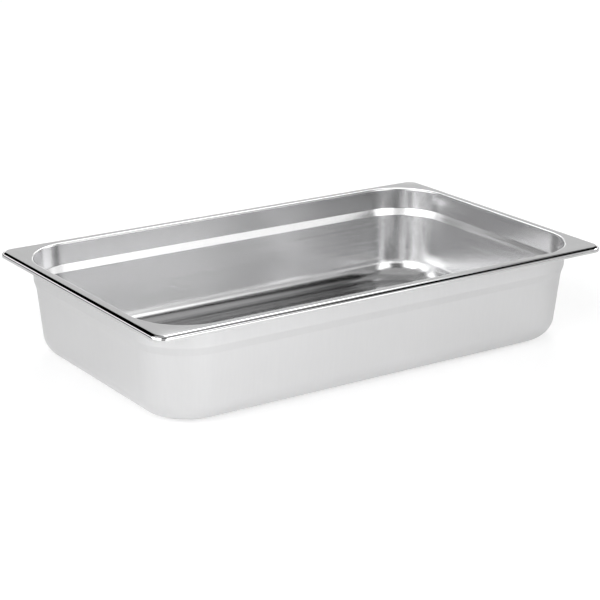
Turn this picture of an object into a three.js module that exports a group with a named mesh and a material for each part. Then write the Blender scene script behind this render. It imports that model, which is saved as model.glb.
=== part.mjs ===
// Deli food pan: a full-size gastronorm (1/1) pan, pressed in one piece from a stainless steel sheet.
// Millimetres, +Z up, +X along the length. The origin is at the middle of the base, on the surface it stands on.
import * as THREE from "three";

// Overall size over the rim, and the sheet it is pressed from.
const LENGTH = 530;
const WIDTH = 325;
const HEIGHT = 102;
const SHEET = 0.8;

// Rim: a flat flange whose outer edge is rolled down into a short stiffening lip.
const FLANGE_WIDTH = 12.5; // outermost edge to the inner face of the neck
const ROLL_RADIUS = 4; // outside of the rolled edge
const LIP_STRAIGHT = 1.3; // upright part of the lip below the roll
const RIM_CORNER_RADIUS = 14; // outer corners of the flange
const MOUTH_RADIUS = 2; // bend from the flange down into the neck

// Neck and stacking shoulder: the next pan of a stack rests on the shoulder, so pans don't jam together.
const MOUTH_CORNER_RADIUS = 57;
const NECK_DEPTH = 23; // flange top to the top of the shoulder
const NECK_DRAFT = 1; // degrees from upright
const SHOULDER_HEIGHT = 7.7;
const SHOULDER_SLOPE = 17; // degrees from upright
const SHOULDER_BEND = 4; // bend radius at the top and the foot of the shoulder

// Tapered walls, and the round edge where they meet the floor.
const WALL_DRAFT = 5.7; // degrees from upright
const FLOOR_EDGE_RADIUS = 23; // outside of the sheet
const CORNER_TAPER = 0.85; // how much the wall's corner radius shrinks per unit it leans in

// Facets in each quarter turn of a corner, and in each bend of the section.
const CORNER_STEPS = 12;
const ROLL_STEPS = 5;
const MOUTH_STEPS = 5;
const SHOULDER_STEPS = 2;
const FLOOR_EDGE_STEPS = 7;

const STAINLESS = { color: 0xd3d5d6, roughness: 0.3, metalness: 1 };

const QUARTER_TURN = Math.PI / 2;
const lean = (degrees) => Math.tan(THREE.MathUtils.degToRad(degrees));

// The section's sharp corners on the skin that faces the food, from the lip to the floor.
// x is the inset from the rim's outermost edge and y is the height.
const shoulderTop = HEIGHT - NECK_DEPTH;
const shoulderFoot = shoulderTop - SHOULDER_HEIGHT;
const neckFootInset = FLANGE_WIDTH + NECK_DEPTH * lean(NECK_DRAFT);
const shoulderFootInset = neckFootInset + SHOULDER_HEIGHT * lean(SHOULDER_SLOPE);
const floorInset = shoulderFootInset + (shoulderFoot - SHEET) * lean(WALL_DRAFT);

const lipEnd = new THREE.Vector2(0, HEIGHT - ROLL_RADIUS - LIP_STRAIGHT);
const floorMiddle = new THREE.Vector2(WIDTH / 2, SHEET);
const bendAt = (x, y, radius, steps) => ({ corner: new THREE.Vector2(x, y), radius, steps });
const bends = [
  bendAt(0, HEIGHT, ROLL_RADIUS, ROLL_STEPS),
  bendAt(FLANGE_WIDTH, HEIGHT, MOUTH_RADIUS, MOUTH_STEPS),
  bendAt(neckFootInset, shoulderTop, SHOULDER_BEND, SHOULDER_STEPS),
  bendAt(shoulderFootInset, shoulderFoot, SHOULDER_BEND, SHOULDER_STEPS),
  bendAt(floorInset, SHEET, FLOOR_EDGE_RADIUS - SHEET, FLOOR_EDGE_STEPS),
];

// The direction at a left-hand right angle to a heading: out of the skin that faces the food.
const leftOf = (heading) => new THREE.Vector2(-heading.y, heading.x);

// A sharp corner turned into an arc: its points, each with the skin's own outward direction there.
function roundedCorner(before, { corner, radius, steps }, after) {
  const incoming = corner.clone().sub(before).normalize();
  const outgoing = after.clone().sub(corner).normalize();
  const turn = Math.atan2(incoming.cross(outgoing), incoming.dot(outgoing));
  const toCentre = radius * Math.sign(turn);
  const centre = corner
    .clone()
    .addScaledVector(incoming, -radius * Math.tan(Math.abs(turn) / 2))
    .addScaledVector(leftOf(incoming), toCentre);
  return Array.from({ length: steps + 1 }, (_, step) => {
    const outward = leftOf(incoming).rotateAround(new THREE.Vector2(), (turn * step) / steps);
    return { point: centre.clone().addScaledVector(outward, -toCentre), outward };
  });
}

// The whole section, from the lip's lower edge to where the floor becomes flat.
function sectionPoints() {
  const corners = [lipEnd, ...bends.map((bend) => bend.corner), floorMiddle];
  const rounded = bends.flatMap((bend, i) => roundedCorner(corners[i], bend, corners[i + 2]));
  return [{ point: lipEnd, outward: new THREE.Vector2(-1, 0) }, ...rounded];
}

// Corner radius seen from above. The lip follows the rim's corners and everything inside it the mouth's.
function cornerRadius(inset) {
  if (inset <= ROLL_RADIUS) return RIM_CORNER_RADIUS - inset;
  return MOUTH_CORNER_RADIUS - CORNER_TAPER * (inset - FLANGE_WIDTH);
}

// A level rounded rectangle, anticlockwise from above.
function ring(inset, z, radius) {
  const centreX = LENGTH / 2 - inset - radius;
  const centreY = WIDTH / 2 - inset - radius;
  const points = [];
  for (let quarter = 0; quarter < 4; quarter += 1) {
    const signX = quarter === 0 || quarter === 3 ? 1 : -1;
    const signY = quarter < 2 ? 1 : -1;
    for (let step = 0; step <= CORNER_STEPS; step += 1) {
      const angle = QUARTER_TURN * (quarter + step / CORNER_STEPS);
      const x = signX * centreX + radius * Math.cos(angle);
      const y = signY * centreY + radius * Math.sin(angle);
      points.push(new THREE.Vector3(x, y, z));
    }
  }
  return points;
}

// The skin that faces the food, or the one a sheet's thickness behind it.
function skinRings(thickness) {
  return sectionPoints().map(({ point, outward }) => {
    const behind = point.clone().addScaledVector(outward, -thickness);
    return ring(behind.x, behind.y, cornerRadius(point.x) + thickness * outward.x);
  });
}

// One closed body from rings: flat faces across the first and the last, and strips from each to the next.
function closedLoft(rings) {
  const count = rings[0].length;
  const index = [];
  for (let row = 0; row + 1 < rings.length; row += 1) {
    for (let i = 0; i < count; i += 1) {
      const here = row * count + i;
      const next = row * count + ((i + 1) % count);
      index.push(here, here + count, next + count);
      index.push(here, next + count, next);
    }
  }
  const last = (rings.length - 1) * count;
  for (let i = 1; i + 1 < count; i += 1) {
    index.push(0, i, i + 1);
    index.push(last, last + i + 1, last + i);
  }
  const geometry = new THREE.BufferGeometry().setFromPoints(rings.flat());
  geometry.setIndex(index);
  geometry.computeVertexNormals();
  return geometry;
}

const foodSide = skinRings(0).reverse();
const farSide = skinRings(SHEET);
const pan = new THREE.Mesh(
  closedLoft([...foodSide, ...farSide]),
  new THREE.MeshStandardMaterial(STAINLESS),
);
pan.name = "pan_body";

const group = new THREE.Group();
group.name = "deli_food_pan";
group.add(pan);

export default group;
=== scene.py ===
# %% [markdown]
# A deli food pan, the deep rectangular kind that hangs by its rim in a butcher's counter. The real one is
# a single stainless steel sheet, pressed in steps between a punch and a die and then polished, so there is
# nothing to assemble: the whole lesson is about one smooth skin and about how bright metal takes the light.
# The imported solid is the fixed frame, and it is right in size but faceted. Bright metal shows each facet,
# so a finer skin of the same shape takes its place.

import math

import bmesh
import bpy
import numpy as np
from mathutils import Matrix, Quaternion, Vector


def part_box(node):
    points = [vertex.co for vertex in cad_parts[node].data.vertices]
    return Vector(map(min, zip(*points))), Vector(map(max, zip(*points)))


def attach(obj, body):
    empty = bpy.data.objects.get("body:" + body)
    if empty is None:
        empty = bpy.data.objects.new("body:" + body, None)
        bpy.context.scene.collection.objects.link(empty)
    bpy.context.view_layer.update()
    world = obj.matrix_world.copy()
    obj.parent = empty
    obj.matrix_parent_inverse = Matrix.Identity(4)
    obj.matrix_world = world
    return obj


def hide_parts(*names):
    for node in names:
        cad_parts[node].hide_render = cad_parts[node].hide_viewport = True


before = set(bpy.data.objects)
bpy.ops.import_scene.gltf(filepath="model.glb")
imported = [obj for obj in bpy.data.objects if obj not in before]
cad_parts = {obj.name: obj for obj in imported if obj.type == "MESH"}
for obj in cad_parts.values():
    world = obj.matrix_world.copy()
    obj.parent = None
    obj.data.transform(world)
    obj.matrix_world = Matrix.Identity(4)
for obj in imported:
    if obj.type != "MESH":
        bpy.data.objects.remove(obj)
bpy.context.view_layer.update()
low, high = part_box("pan_body")
length, width, height = high - low
MM = 0.001
print(f"packed pan: {length / MM:.1f} x {width / MM:.1f} x {height / MM:.1f} mm")

# %% [markdown]
# A pan like this is the same all the way round: one section, from the rolled lip over the flange, down the
# neck, across the stacking shoulder and down the wall to the floor. A press tool is drawn the same way, as
# straight runs with a bend radius at each corner, so the section is kept as a short list of corners. Insets
# are measured in from the rim's outermost edge and heights up from the surface that the pan stands on.

# %% the section's sizes
SHEET = 0.8 * MM
FLANGE_WIDTH = 12.5 * MM
ROLL_RADIUS = 4 * MM
LIP_STRAIGHT = 1.3 * MM
RIM_CORNER_RADIUS = 14 * MM
MOUTH_RADIUS = 2 * MM
MOUTH_CORNER_RADIUS = 57 * MM
NECK_DEPTH = 23 * MM
NECK_DRAFT = math.radians(1)
SHOULDER_HEIGHT = 7.7 * MM
SHOULDER_SLOPE = math.radians(17)
SHOULDER_BEND = 4 * MM
WALL_DRAFT = math.radians(5.7)
FLOOR_EDGE_RADIUS = 23 * MM
CORNER_TAPER = 0.85
print(f"sheet {SHEET / MM:.1f} mm, flange {FLANGE_WIDTH / MM:.1f} mm, neck {NECK_DEPTH / MM:.0f} mm")

# %% the section's corners
# How far the section goes on over the floor, past the corner where the wall would meet it.
FLOOR_RING = 1.3 * FLOOR_EDGE_RADIUS
shoulder_top = height - NECK_DEPTH
shoulder_foot = shoulder_top - SHOULDER_HEIGHT
neck_foot_inset = FLANGE_WIDTH + NECK_DEPTH * math.tan(NECK_DRAFT)
shoulder_foot_inset = neck_foot_inset + SHOULDER_HEIGHT * math.tan(SHOULDER_SLOPE)
floor_inset = shoulder_foot_inset + (shoulder_foot - SHEET) * math.tan(WALL_DRAFT)
section_corners = np.array([
    (0, height - ROLL_RADIUS - LIP_STRAIGHT),
    (0, height),
    (FLANGE_WIDTH, height),
    (neck_foot_inset, shoulder_top),
    (shoulder_foot_inset, shoulder_foot),
    (floor_inset, SHEET),
    (floor_inset + FLOOR_RING, SHEET),
])
bend_radii = [ROLL_RADIUS, MOUTH_RADIUS, SHOULDER_BEND, SHOULDER_BEND, FLOOR_EDGE_RADIUS - SHEET]
# Rings of points in each bend, and on each straight run between the bends.
bend_steps = [16, 14, 6, 6, 28]
run_steps = [3, 6, 10, 6, 18, 4]
print(f"wall leans in {(floor_inset - shoulder_foot_inset) / MM:.1f} mm from shoulder to floor")


# %% [markdown]
# Each corner becomes an arc that touches both of its straight runs. The runs get rings of their own that
# crowd towards their ends, because a smooth-shaded mesh bends its highlight over the first ring beside an
# arc, and that ring has to be narrow if the flat parts are to look flat.

# %% steps along a run, and turned directions
QUARTER_TURN = np.pi / 2


def crowded(steps):
    """Steps from 0 to 1 that crowd towards both ends: half of one minus the cosine of a half turn's share."""
    return (1 - np.cos(np.linspace(0, np.pi, steps + 1))) / 2


def turned(vectors, angle):
    """Plane vectors turned anticlockwise: x cos a - y sin a, and x sin a + y cos a."""
    x, y = np.moveaxis(vectors, -1, 0)
    return np.stack([x * np.cos(angle) - y * np.sin(angle), x * np.sin(angle) + y * np.cos(angle)], axis=-1)


print("a run of six steps:", crowded(6).round(3))


# %% turn corners into arcs and runs
def bent_section(corners, radii, arc_steps, straight_steps):
    """Points along the section, and the skin's outward direction at each.
    A bend turns from its incoming to its outgoing heading. It starts radius * tan(turn / 2) before the
    corner, and each of its points lies one radius from a centre square to the incoming heading. The
    outward direction is the heading turned a quarter turn anticlockwise. Straight runs join the bends."""
    runs = np.diff(corners, axis=0)
    headings = runs / np.linalg.norm(runs, axis=1, keepdims=True)
    incoming, outgoing = headings[:-1], headings[1:]
    crossed = incoming[:, 0] * outgoing[:, 1] - incoming[:, 1] * outgoing[:, 0]
    turns = np.arctan2(crossed, (incoming * outgoing).sum(1))
    points, outwards = [corners[:1]], [turned(headings[:1], QUARTER_TURN)]
    bends = zip(corners[1:-1], incoming, turns, radii, arc_steps, straight_steps)
    for corner, heading, turn, radius, steps, run in bends:
        side = turned(heading, QUARTER_TURN)
        start = corner - heading * radius * np.tan(abs(turn) / 2)
        swing = turn * np.linspace(0, 1, steps + 1)
        outward = turned(np.broadcast_to(side, (steps + 1, 2)), swing)
        arc = start + np.sign(turn) * radius * (side - outward)
        along = crowded(run)[1:-1, None]
        points += [points[-1][-1] * (1 - along) + start * along, arc]
        outwards += [np.repeat(outward[:1], len(along), axis=0), outward]
    along = crowded(straight_steps[-1])[1:, None]
    points.append(points[-1][-1] * (1 - along) + corners[-1] * along)
    outwards.append(np.repeat(outwards[-1][-1:], len(along), axis=0))
    return np.concatenate(points), np.concatenate(outwards)


section, outward = bent_section(section_corners, bend_radii, bend_steps, run_steps)
print(f"section: {len(section)} stations from the lip's edge to the floor")


# %% [markdown]
# Seen from above, every station of the section is a rounded rectangle. The outer corners of the flange are
# small and the mouth's are large, which leaves the flange wide at its corners, where fingers lift the pan.
# Going down the wall the corners tighten a little, because the press tool is tapered there too.

# %% the way round the pan
def perimeter(corner_steps, long_steps, short_steps):
    """The way round a rounded rectangle, as three arrays: which side of each axis the corner centre is on,
    from -1 to 1 across a straight, and the direction out of the corner's arc. Starts at the right side's
    back end and goes anticlockwise, with the last point left out because it is the first again."""
    quarter = np.linspace(0, QUARTER_TURN, corner_steps + 1)[:-1]
    long_way = 1 - 2 * crowded(long_steps)[:-1]
    short_way = 1 - 2 * crowded(short_steps)[:-1]
    flat = np.ones_like
    side_x = [flat(quarter), long_way, -flat(quarter), -flat(short_way),
              -flat(quarter), -long_way, flat(quarter), flat(short_way)]
    side_y = [flat(quarter), flat(long_way), flat(quarter), short_way,
              -flat(quarter), -flat(long_way), -flat(quarter), -short_way]
    straights = [np.full(steps, QUARTER_TURN) for steps in (long_steps, short_steps) * 2]
    angle = [piece + corner * QUARTER_TURN for corner, straight in enumerate(straights)
             for piece in (quarter, straight)]
    return np.concatenate(side_x), np.concatenate(side_y), np.concatenate(angle)


CORNER_STEPS, LONG_STEPS, SHORT_STEPS = 32, 40, 24
side_x, side_y, angle = perimeter(CORNER_STEPS, LONG_STEPS, SHORT_STEPS)
print(f"{len(angle)} points round the pan")


# %% carry the section round the pan
def corner_radius(inset):
    """The rim's own corner radius less the inset along the roll, and inside it the mouth's corner radius
    less a share of the inset from the mouth."""
    return np.where(inset <= ROLL_RADIUS, RIM_CORNER_RADIUS - inset,
                    MOUTH_CORNER_RADIUS - CORNER_TAPER * (inset - FLANGE_WIDTH))


def skin(behind):
    """A skin the given distance behind the food side, as a grid of stations by points round the pan:
    x = side * (half length - inset - radius) + radius * cos(angle), y the same with width and sine."""
    station = section - behind * outward
    radius = (corner_radius(section[:, 0]) + behind * outward[:, 0])[:, None]
    inset = station[:, :1]
    x = side_x * (length / 2 - inset - radius) + radius * np.cos(angle)
    y = side_y * (width / 2 - inset - radius) + radius * np.sin(angle)
    z = np.broadcast_to(station[:, 1:], x.shape)
    return np.stack([x, y, z], axis=-1)


food_side, far_side = skin(0), skin(SHEET)
print(f"skins: {food_side.shape[0]} x {food_side.shape[1]} points each")


# %% [markdown]
# The floor and the underside are the only parts that the rings don't cover. Filling such a hole with a fan
# gives long thin faces that meet in one point and shade badly. Instead the floor is ruled straight across,
# from each point of its back half to the mirrored point of its front half. The first and last lines then
# fall on the points of the short sides, so the grid fits the ring exactly.

# %% patches ruled across, and squares between rows
def ruled(ring, steps):
    """A level patch inside a ring: its back half's points, carried to their mirror images in y."""
    back_half = ring[: 2 * CORNER_STEPS + LONG_STEPS + 1]
    across = 1 - 2 * crowded(steps)
    x, y, z = np.moveaxis(back_half, -1, 0)
    return np.stack([np.repeat(x[:, None], steps + 1, 1), y[:, None] * across,
                     np.repeat(z[:, None], steps + 1, 1)], axis=-1)


def grid_quads(rows, columns, first, wrap):
    """Corner numbers of each square of a grid, row by row, wrapped round if its columns close."""
    row = np.arange(rows - 1)[:, None] * columns + first
    column = np.arange(columns if wrap else columns - 1)
    following = (column + 1) % columns
    corners = [row + column, row + columns + column, row + columns + following, row + following]
    return np.stack(np.broadcast_arrays(*corners), axis=-1).reshape(-1, 4)


floor_patch, base_patch = ruled(food_side[-1], SHORT_STEPS), ruled(far_side[-1], SHORT_STEPS)
patch_rows, patch_columns = floor_patch.shape[:2]
print(f"floor and underside: {patch_rows} x {patch_columns} points each")

# %% close the skin
shell = np.concatenate([food_side[::-1], far_side])
points = np.concatenate([piece.reshape(-1, 3) for piece in (shell, floor_patch, base_patch)])
floor_first = shell.shape[0] * shell.shape[1]
base_first = floor_first + patch_rows * patch_columns
quads = np.concatenate([
    grid_quads(*shell.shape[:2], 0, True),
    grid_quads(patch_rows, patch_columns, floor_first, False),
    grid_quads(patch_rows, patch_columns, base_first, False)[:, ::-1],
])
print(f"pan skin: {len(points)} points, {len(quads)} quads")

# %% [markdown]
# How smooth the steel is differs over the pan. The rolled rim is buffed until it is nearly a mirror. Inside,
# the floor keeps the bright face of the sheet and the walls are polished round and round to a soft sheen.
# Outside, the die leaves an even satin. The places are known exactly while the skin is still a grid, so each
# point stores its finish, and the finish can change just where the press changed it, with no painted map.
# Each point also stores which way the polishing belt ran past it: along the long sides and over the floor it
# ran lengthways, and past the ends it ran crossways.

# %% where each finish lies along the section
MIRROR, BRIGHT, SATIN = 0.0, 1.0, 2.0
# How much of the skin's outward direction is up or down, where a bend begins to count as floor and where it
# is wholly floor.
LEANING, LEVEL = 0.35, 0.95
# How much of it points along the length, where the belt begins to run crossways and where it wholly does.
TURNING, END_ON = 0.55, 0.85


def blend(value, start, end):
    """A smooth step from 0 to 1: three of its square less two of its cube, of the share of the way."""
    share = np.clip((value - start) / (end - start), 0, 1)
    return share * share * (3 - 2 * share)


inset, drop = section[:, 0], height - section[:, 1]
lip_points = run_steps[0]
food_finish = MIRROR + (BRIGHT - MIRROR) * blend(inset, FLANGE_WIDTH - MOUTH_RADIUS, FLANGE_WIDTH)
far_finish = MIRROR + (SATIN - MIRROR) * blend(np.arange(len(section)), 0, lip_points)
flatness = blend(np.abs(outward[:, 1]), LEANING, LEVEL) * blend(drop, NECK_DEPTH, height / 2)
print(f"{(food_finish < BRIGHT).sum()} stations are more polished than the inside")


# %% spread the finishes over the skin
def over_skin(food_values, far_values, floor_value, base_value):
    """Values by station, spread over every point of the shell and of the two patches."""
    stations = np.concatenate([food_values[::-1], far_values])
    patches = np.repeat([floor_value, base_value], patch_rows * patch_columns)
    return np.concatenate([np.repeat(stations, shell.shape[1]), patches])


finish = over_skin(food_finish, far_finish, BRIGHT, SATIN)
floor_share = over_skin(flatness, flatness, 1, 1)
faces_end = np.tile(np.abs(np.cos(angle)), len(shell))
off_patches = np.zeros(2 * patch_rows * patch_columns)
crossways = np.concatenate([blend(faces_end, TURNING, END_ON), off_patches]) * (1 - floor_share)
print(f"finish runs from {finish.min():.0f} (mirror) to {finish.max():.0f} (satin)")


# %% [markdown]
# The grids become one mesh. Where the patches meet the rings, and where the two skins meet at the lip's edge,
# points lie on top of each other. Merging them makes a closed skin with the sheet's thickness inside it, and
# the shading then runs on from one grid to the next. The object stays at the origin and the place is in the
# mesh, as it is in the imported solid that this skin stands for.

# %% build the pan's mesh
def build_mesh(name, points, quads, **values):
    """A smooth-shaded object at the origin with its place in its mesh, and named values at its points."""
    mesh = bpy.data.meshes.new(name)
    mesh.from_pydata(points.tolist(), [], quads.tolist())
    mesh.shade_smooth()
    for key, value in values.items():
        mesh.attributes.new(key, "FLOAT", "POINT").data.foreach_set("value", value.astype(np.float32))
    built = bpy.data.objects.new(name, mesh)
    bpy.context.scene.collection.objects.link(built)
    return built


pan = build_mesh("pan_skin", points, quads, finish=finish, floor_share=floor_share, crossways=crossways)
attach(pan, "root")
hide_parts("pan_body")
print(f"{pan.name} stands for the packed pan")

# %% merge the seams
SAME_POINT = 0.002 * MM
LITRE = 0.001
seams = bmesh.new()
seams.from_mesh(pan.data)
bmesh.ops.remove_doubles(seams, verts=seams.verts, dist=SAME_POINT)
open_edges = sum(not edge.is_manifold for edge in seams.edges)
litres = seams.calc_volume(signed=True) / LITRE
seams.to_mesh(pan.data)
seams.free()
print(f"closed skin: {open_edges} open edges, {litres:.3f} l of steel")


# %% [markdown]
# Shader maths reads best as Python. One small class wraps a socket and gives it the usual operators, and
# its node method makes every other node from a type, its settings and its inputs.

# %% a socket that can be added and multiplied
class Wire:
    """One output socket of a node tree, with arithmetic."""

    def __init__(self, tree, socket=None):
        self.tree, self.socket = tree, socket

    def node(self, kind, settings=None, output=0, **inputs):
        """Adds a node: its settings first, then its inputs by name, or by number as i0, i1."""
        made = self.tree.nodes.new(kind)
        for key, value in (settings or {}).items():
            setattr(made, key, value)
        for key, value in inputs.items():
            target = made.inputs[int(key[1:])] if key[1:].isdigit() else made.inputs[key]
            if isinstance(value, Wire):
                self.tree.links.new(value.socket, target)
            else:
                target.default_value = value
        return Wire(self.tree, made.outputs[output])

    def math(self, operation, *values, clamp=False):
        """A Math node of the given numbers or wires."""
        numbers = {f"i{place}": value for place, value in enumerate(values)}
        return self.node("ShaderNodeMath", {"operation": operation, "use_clamp": clamp}, **numbers)

    def attribute(self, name):
        """A value stored at the mesh's points."""
        return self.node("ShaderNodeAttribute", {"attribute_name": name}, "Fac")

    def clamped(self):
        """Held between 0 and 1."""
        return self.math("ADD", self, 0.0, clamp=True)

    def feed(self, shader, name):
        """Links the value into one of the shader's inputs."""
        self.tree.links.new(self.socket, shader.inputs[name])

    def __add__(self, other):
        return self.math("ADD", self, other)

    def __sub__(self, other):
        return self.math("SUBTRACT", self, other)

    def __rsub__(self, other):
        return self.math("SUBTRACT", other, self)

    def __mul__(self, other):
        return self.math("MULTIPLY", self, other)

    __radd__, __rmul__ = __add__, __mul__


def new_material(name):
    """A material, its shader, and a wire to start its maths from."""
    material = bpy.data.materials.new(name)
    material.use_nodes = True
    return material, material.node_tree.nodes["Principled BSDF"], Wire(material.node_tree)


print("wires can be added, taken away, multiplied and clamped")


# %% [markdown]
# Bright stainless is never quite even. Seen close it has a fine grain of polishing lines, a few longer
# scratches from trays and spoons, and patches where handling has dulled it. Seen from further away the large
# flat faces bow in and out by a hair, so reflections swim a little. All of these are noise, and what tells
# them apart is how far the noise is stretched: the grain is some seventy times longer than it is wide, and
# the bowing hardly at all. Noise in the pan's own coordinates needs no map and has no seam.

# %% noise that is drawn out into streaks
NOISE_FADE = 0.55
SCRATCH_PER_METRE = 9, 620, 40
SCRATCH_FROM, SCRATCH_EDGE = 0.68, 9


def streaks(where, per_metre, detail):
    """Noise whose features have the given number per metre along each axis."""
    stretched = where.node("ShaderNodeVectorMath", {"operation": "MULTIPLY"}, i0=where, i1=per_metre)
    return where.node("ShaderNodeTexNoise", Vector=stretched, Scale=1.0, Detail=detail, Roughness=NOISE_FADE)


def scratches(where, turn):
    """Thin lines at an angle to the length: only the peaks of strongly stretched noise."""
    across = where.node("ShaderNodeVectorRotate", {"rotation_type": "Z_AXIS"}, Vector=where, Angle=turn)
    return ((streaks(across, SCRATCH_PER_METRE, 1) - SCRATCH_FROM) * SCRATCH_EDGE).clamped()


scratch_length, scratch_width = 1 / SCRATCH_PER_METRE[0], 1 / SCRATCH_PER_METRE[1]
print(f"a scratch is up to {scratch_length / MM:.0f} mm long and {scratch_width / MM:.1f} mm wide")

# %% [markdown]
# One steel material covers the whole pan, and the values stored in the mesh steer it. The finish sets the
# roughness: least on the rim, more on the walls inside, most outside. The grain follows the belt inside and
# the die outside, where it stands on end and is fainter. Every unevenness goes into the roughness, a little
# of it into the colour, and the bowing and the grain also tilt the surface by a few hundredths of a
# millimetre and less, which is enough to make a reflection run.

# %% how smooth and how even the steel is
STEEL, BLUER = 0.66, 1.006
MIRROR_ROUGHNESS, WALL_ROUGHNESS, FLOOR_ROUGHNESS, SATIN_ROUGHNESS = 0.06, 0.22, 0.13, 0.36
FINE, LONG, GRAIN_DETAIL = 420, 6, 3
GRAIN_FADES_IN_SATIN = 0.6
SCRATCH_TURNS = 0.6, -0.35
HANDLING_PER_METRE, HANDLING_DETAIL = (8, 8, 8), 2
BOWING_PER_METRE, BOWING_DETAIL = (7, 7, 10), 1
NOISE_MIDDLE = 0.5
# What each adds to the roughness and to the shade, and how much of the roughness is left on a mirror.
GRAIN_ROUGHENS, HANDLING_ROUGHENS, SCRATCH_ROUGHENS = 0.11, 0.08, 0.12
GRAIN_SHADES, HANDLING_SHADES, SCRATCH_DARKENS = 0.08, 0.04, 0.05
LEFT_ON_MIRROR = 0.3
BOW_DEPTH, GRAIN_DEPTH, SCRATCH_SHARE = 0.4 * MM, 0.012 * MM, 0.5
print(f"steel reflects {STEEL:.0%} of the light, roughness {MIRROR_ROUGHNESS} to {SATIN_ROUGHNESS}")


# %% stainless steel
def steel_material(name):
    """Polished steel whose roughness and grain follow the finish stored in the mesh."""
    material, shader, graph = new_material(name)
    where = graph.node("ShaderNodeTexCoord", output="Object")
    finish, floor, crossways = (graph.attribute(key) for key in ("finish", "floor_share", "crossways"))
    polished = graph.math("MINIMUM", finish, BRIGHT)
    satin = (finish - BRIGHT).clamped()

    lengthways_grain = streaks(where, (LONG, FINE, FINE), GRAIN_DETAIL)
    crossways_grain = streaks(where, (FINE, LONG, FINE), GRAIN_DETAIL)
    upright_grain = streaks(where, (FINE, FINE, LONG), GRAIN_DETAIL)
    belt_grain = lengthways_grain + crossways * (crossways_grain - lengthways_grain)
    grain = belt_grain + satin * (upright_grain - belt_grain) - NOISE_MIDDLE
    grain = grain * (1 - GRAIN_FADES_IN_SATIN * satin)
    scratch = graph.math("MAXIMUM", *(scratches(where, turn) for turn in SCRATCH_TURNS)) * floor
    handling = streaks(where, HANDLING_PER_METRE, HANDLING_DETAIL) - NOISE_MIDDLE
    bowing = streaks(where, BOWING_PER_METRE, BOWING_DETAIL)

    inside = MIRROR_ROUGHNESS + polished * (WALL_ROUGHNESS - MIRROR_ROUGHNESS)
    smoother_floor = floor * polished * (1 - satin) * (WALL_ROUGHNESS - FLOOR_ROUGHNESS)
    even = inside + satin * (SATIN_ROUGHNESS - WALL_ROUGHNESS) - smoother_floor
    uneven = grain * GRAIN_ROUGHENS + handling * HANDLING_ROUGHENS + scratch * SCRATCH_ROUGHENS
    rough = even + uneven * (LEFT_ON_MIRROR + (1 - LEFT_ON_MIRROR) * polished)
    rough.feed(shader, "Roughness")

    shade = STEEL + handling * HANDLING_SHADES + grain * GRAIN_SHADES - scratch * SCRATCH_DARKENS
    colour = graph.node("ShaderNodeCombineColor", Red=shade, Green=shade, Blue=shade * BLUER)
    colour.feed(shader, "Base Color")

    bowed = graph.node("ShaderNodeBump", Height=bowing * polished, Strength=1.0, Distance=BOW_DEPTH)
    lines = grain - scratch * SCRATCH_SHARE
    grained = graph.node("ShaderNodeBump", Height=lines, Strength=1.0, Distance=GRAIN_DEPTH, Normal=bowed)
    grained.feed(shader, "Normal")
    shader.inputs["Metallic"].default_value = 1.0
    return material


pan.data.materials.append(steel_material("stainless_steel"))
print(f"{len(pan.data.materials[0].node_tree.nodes)} nodes make the steel")

# %% [markdown]
# Polished metal has hardly any look of its own: it shows the room. Such a pan therefore stands in a light
# tent, white cloth all round, and black flags hang where an edge or a bend needs a dark line to be seen
# against the white. Here the tent is one large dome. Each of its points knows its direction from the pan, and
# its glow is that of the cloth with the flags and lamps laid over it one after another. The camera looks in
# through the cloth, so the dome is hidden from it. Most of these places and glows weren't chosen by hand:
# a separate program fitted them, they were rounded, and the panels got their names afterwards.

# %% the tent's cloth, flags and lamps
TENT_RADIUS = 5.0
CLOTH_GLOW, CEILING_GLOW = 2.5, 0.47
# Degrees up, and the width of a soft edge on each side of its line.
CEILING_FROM, CEILING_EDGE, PANEL_EDGE = 50, 8, 3
# Degrees round from the pan's front, then degrees up, then half the width and half the height, then the glow.
tent_panels = {
    "lamp on the left": (267, 39, 28, 10, 4.1),
    "dimmer cloth behind, on the left": (240, 46, 28, 10, 0.6),
    "flag behind": (188, 36, 36, 17, 0.0),
    "gap under the cloth behind": (204, 5, 38, 8, 0.0),
    "flag on the right": (112, 30, 27, 13, 0.0),
    "lamp behind, on the right": (143, 46, 8, 20, 5.2),
    "gap that the camera looks through": (326, 8, 14, 11, 0.0),
    "high flag on the right": (76, 44, 36, 12, 0.0),
    "dimmer cloth in front, on the right": (41, 24, 15, 10, 0.5),
    "gap under the cloth on the right": (81, 3, 45, 7, 0.0),
    "lamp on the right": (67, 25, 14, 7, 4.7),
    "flag over the camera": (331, 41, 22, 17, 0.15),
    "grey cloth low behind, on the right": (145, 17, 18, 7, 0.7),
}
print(f"{len(tent_panels)} flags, gaps and lamps in the tent")


# %% how bright the tent is in each direction
def over(offset, half):
    """One within half of the middle and nought beyond it, with a soft edge."""
    return 1 - blend(np.abs(offset), half - PANEL_EDGE, half + PANEL_EDGE)


def tent_glow(azimuth, elevation):
    """Cloth to a dimmer ceiling, then each panel in turn: glow * (1 - cover) + panel's glow * cover."""
    ceiling = blend(elevation, CEILING_FROM - CEILING_EDGE, CEILING_FROM + CEILING_EDGE)
    glow = CLOTH_GLOW + (CEILING_GLOW - CLOTH_GLOW) * ceiling
    for across, up, half_across, half_up, panel_glow in tent_panels.values():
        offset = (azimuth - across + 180) % 360 - 180
        cover = over(offset, half_across) * over(elevation - up, half_up)
        glow = glow * (1 - cover) + panel_glow * cover
    return glow


DEGREES_ROUND, ROWS_UP = 1.5, 60
around = np.arange(0, 360, DEGREES_ROUND)
upwards = np.linspace(0, 90, ROWS_UP + 1)[:-1]
azimuth, elevation = (part.ravel() for part in np.meshgrid(around, upwards))
glow = tent_glow(azimuth, elevation)
print(f"glow from {glow.min():.1f} to {glow.max():.1f}")


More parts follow.
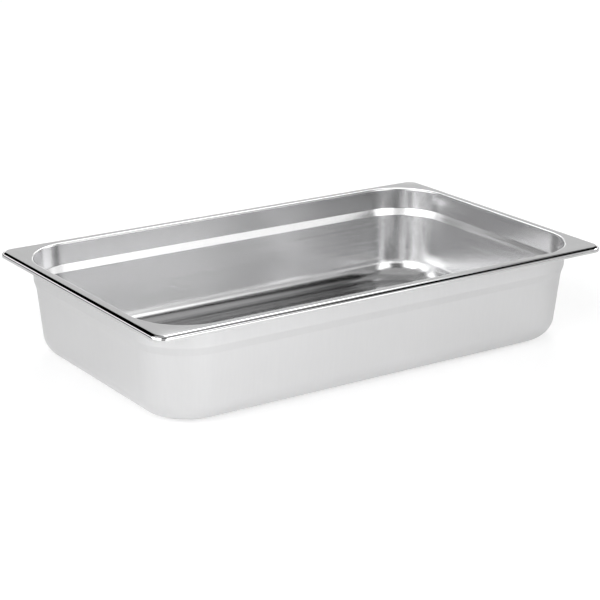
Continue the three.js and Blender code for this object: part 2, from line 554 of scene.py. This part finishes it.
# %% put the tent up
def directions(azimuth, elevation):
    """Out from the pan: cos e sin a, less cos e cos a, and sin e, with a from the front, anticlockwise."""
    level = np.cos(np.radians(elevation))
    return np.stack([level * np.sin(np.radians(azimuth)), -level * np.cos(np.radians(azimuth)),
                     np.sin(np.radians(elevation))], axis=-1)


def glowing_material(name, attribute):
    """A surface that only gives light, as strong as its attribute says."""
    material, shader, graph = new_material(name)
    material.cycles.emission_sampling = "NONE"
    shader.inputs["Base Color"].default_value = (0, 0, 0, 1)
    shader.inputs["Specular IOR Level"].default_value = 0
    shader.inputs["Emission Strength"].default_value = 1
    graph.attribute(attribute).feed(shader, "Emission Color")
    return material


tent_quads = grid_quads(len(upwards), len(around), 0, True)
tent = build_mesh("tent", directions(azimuth, elevation) * TENT_RADIUS, tent_quads, glow=glow)
tent.data.materials.append(glowing_material("tent_cloth", "glow"))
tent.visible_camera = False
print(f"tent: {len(tent_quads)} squares of cloth")


# %% [markdown]
# The pan stands on plain white paper that runs out of view on every side. The paper shines a little by
# itself, as paper under a strong light looks to a camera, so it stays white up to the pan's foot. What the
# steel shows of it matters as much: the outside leans over the paper and mirrors hardly anything else. A pool
# of light is painted into the paper's glow in front of the near corner, with no lamp that casts it; it makes
# that corner stand out and lets both sides fall off from it. The paper is laid twice for this, evenly bright
# for the camera and with the painted pool for everything else.

# %% the paper
PAPER, PAPER_ROUGHNESS = 0.6, 0.9
SEEN_GLOW, EVEN_GLOW, PAINTED_POOL_GLOW = 0.46, 0.2, 0.4
POOL_CENTRE, POOL_RADIUS = (-0.25, -0.32, 0.0), 0.67


def paper_material(name):
    """White paper, with its shader and a wire for a glow of its own."""
    material, shader, graph = new_material(name)
    material.cycles.emission_sampling = "NONE"
    shader.inputs["Base Color"].default_value = (PAPER, PAPER, PAPER, 1)
    shader.inputs["Roughness"].default_value = PAPER_ROUGHNESS
    shader.inputs["Emission Strength"].default_value = 1
    return material, shader, graph


seen_paper, shader, graph = paper_material("white_paper")
shader.inputs["Emission Color"].default_value = (SEEN_GLOW, SEEN_GLOW, SEEN_GLOW, 1)
paper_with_painted_pool, shader, graph = paper_material("paper_with_painted_pool")
# Painted pool of light: the paper's own glow rises towards the pool's centre, and no lamp casts it.
where = graph.node("ShaderNodeTexCoord", output="Object")
away = graph.node("ShaderNodeVectorMath", {"operation": "DISTANCE"}, "Value", i0=where, i1=POOL_CENTRE)
pool = (1 - away * (1 / POOL_RADIUS)).clamped()
(EVEN_GLOW + pool * PAINTED_POOL_GLOW).feed(shader, "Emission Color")
print(f"the pool reaches {POOL_RADIUS:.2f} m, at most {PAINTED_POOL_GLOW / EVEN_GLOW:.0f} times the even glow")

# %% lay the paper twice
PAPER_HALF, PAPER_GAP = 8.0, 0.2 * MM
square_corners = np.array([(-1, -1), (1, -1), (1, 1), (-1, 1)]) * PAPER_HALF
one_square = np.array([[0, 1, 2, 3]])


def sheet_of_paper(name, below, paper):
    """One large square, level, the given distance below the pan."""
    laid = build_mesh(name, np.column_stack([square_corners, np.full(4, -below)]), one_square)
    laid.data.materials.append(paper)
    return laid


table = sheet_of_paper("table", PAPER_GAP, seen_paper)
table.visible_diffuse = table.visible_glossy = table.visible_shadow = False
# This sheet carries the painted pool of light. Only the steel's reflections and the bouncing light see it.
table_with_painted_pool = sheet_of_paper("table_with_painted_pool", 2 * PAPER_GAP, paper_with_painted_pool)
table_with_painted_pool.visible_camera = False
print(f"paper {2 * PAPER_HALF:.0f} m square, {PAPER_GAP / MM:.1f} mm below the pan")

# %% beyond the tent
world = bpy.data.worlds.new("beyond_the_tent")
world.use_nodes = True
world.node_tree.nodes["Background"].inputs["Color"].default_value = (1, 1, 1, 1)
bpy.context.scene.world = world
print(f"{world.name} is white")

# %% [markdown]
# The camera stands well back with a long lens, in front of the left end and a little above the rim. Light
# bounces from wall to wall inside the pan, and the usual number of mirror bounces would leave its corners
# black, so a few more are allowed. The camera's angles, distance, lens and aim were fitted too.

# %% the camera
AZIMUTH, ELEVATION, ROLL = math.radians(-34.356), math.radians(18.12), math.radians(0.42)
DISTANCE, SENSOR_WIDTH, FOCAL, FARTHEST = 1.8757, 36.0, 109.2, 50
look_at = Vector((-0.0032, 0.0008, 0.0464))
back = Vector((math.sin(AZIMUTH) * math.cos(ELEVATION), -math.cos(AZIMUTH) * math.cos(ELEVATION),
               math.sin(ELEVATION)))
camera_data = bpy.data.cameras.new("camera")
camera_data.sensor_width = SENSOR_WIDTH
camera_data.lens = FOCAL
camera_data.clip_end = FARTHEST
camera = bpy.data.objects.new("camera", camera_data)
bpy.context.scene.collection.objects.link(camera)
camera.location = look_at + back * DISTANCE
camera.rotation_mode = "QUATERNION"
camera.rotation_quaternion = Quaternion(back, ROLL) @ back.to_track_quat("Z", "Y")
bpy.context.scene.camera = camera
print(f"camera {DISTANCE:.2f} m away, lens {FOCAL:.0f} mm")

# %% how light is followed and shown
BOUNCES, MIRROR_BOUNCES = 12, 8
scene = bpy.context.scene
scene.view_settings.view_transform = "Standard"
scene.cycles.use_denoising = True
scene.cycles.max_bounces = BOUNCES
scene.cycles.glossy_bounces = MIRROR_BOUNCES
print(f"up to {MIRROR_BOUNCES} mirror bounces")
